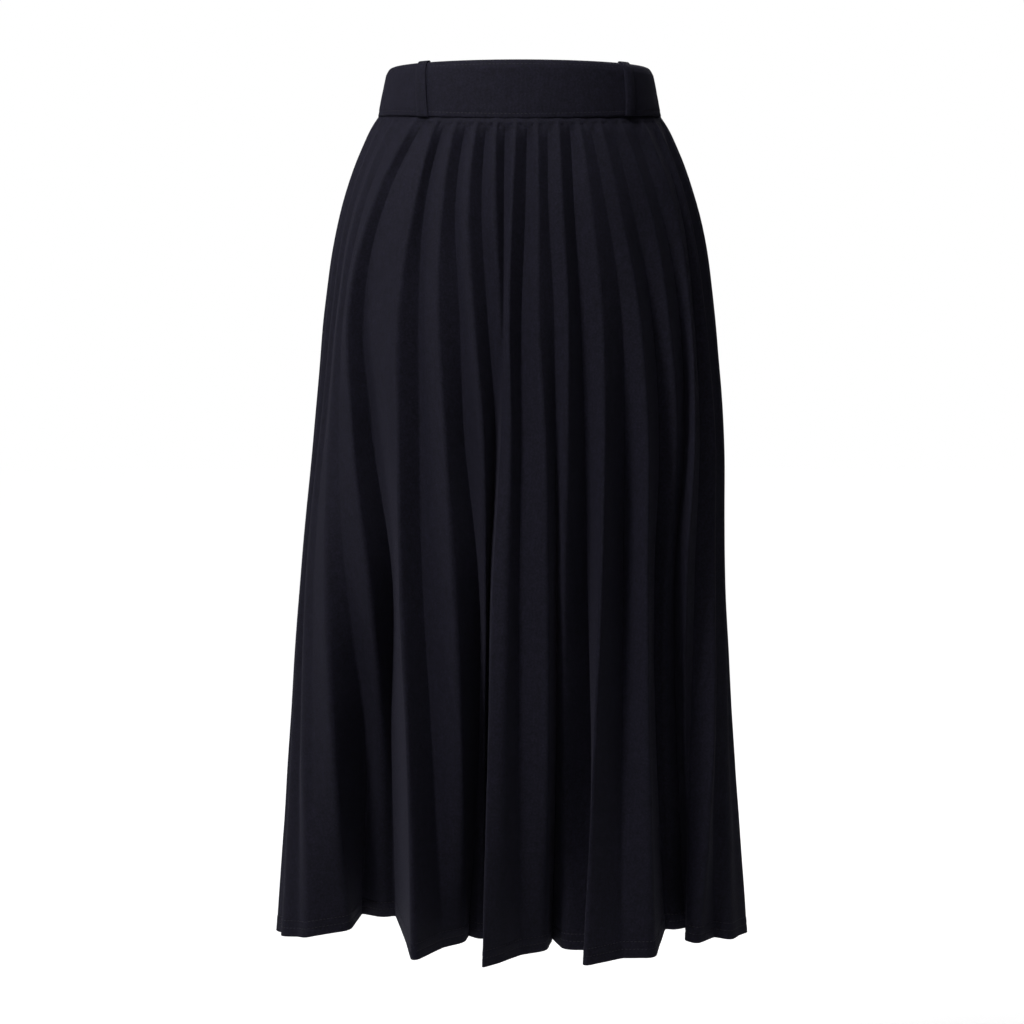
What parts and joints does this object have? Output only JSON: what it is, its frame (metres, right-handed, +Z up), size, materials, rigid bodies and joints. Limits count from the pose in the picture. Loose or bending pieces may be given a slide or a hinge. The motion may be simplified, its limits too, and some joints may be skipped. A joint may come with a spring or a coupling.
{
  "type": "pleated midi skirt",
  "caption": "Hollow pleated midi skirt in dark knit, held open at the waist as worn, with a wide elastic waistband, belt loops and deep folds at an open hem",
  "frame": {"origin": "the middle of the waist opening, 25 mm below the waistband's top edge, where the wearer's waist holds the skirt", "axes": "+Z is up out of the waist opening, -Y is the side that shows in front, X runs across the skirt from one side seam to the other"},
  "size_m": [0.4171, 0.273, 0.7616],
  "materials": {
    "cloth": "matt fine knit, very dark navy black"
  },
  "bodies": {
    "root": {"skirt_front": "cloth", "skirt_back": "cloth", "waistband": "cloth", "belt_loop_front_left": "cloth", "belt_loop_front_right": "cloth", "belt_loop_back_left": "cloth", "belt_loop_back_right": "cloth"}
  },
  "joints": []
}
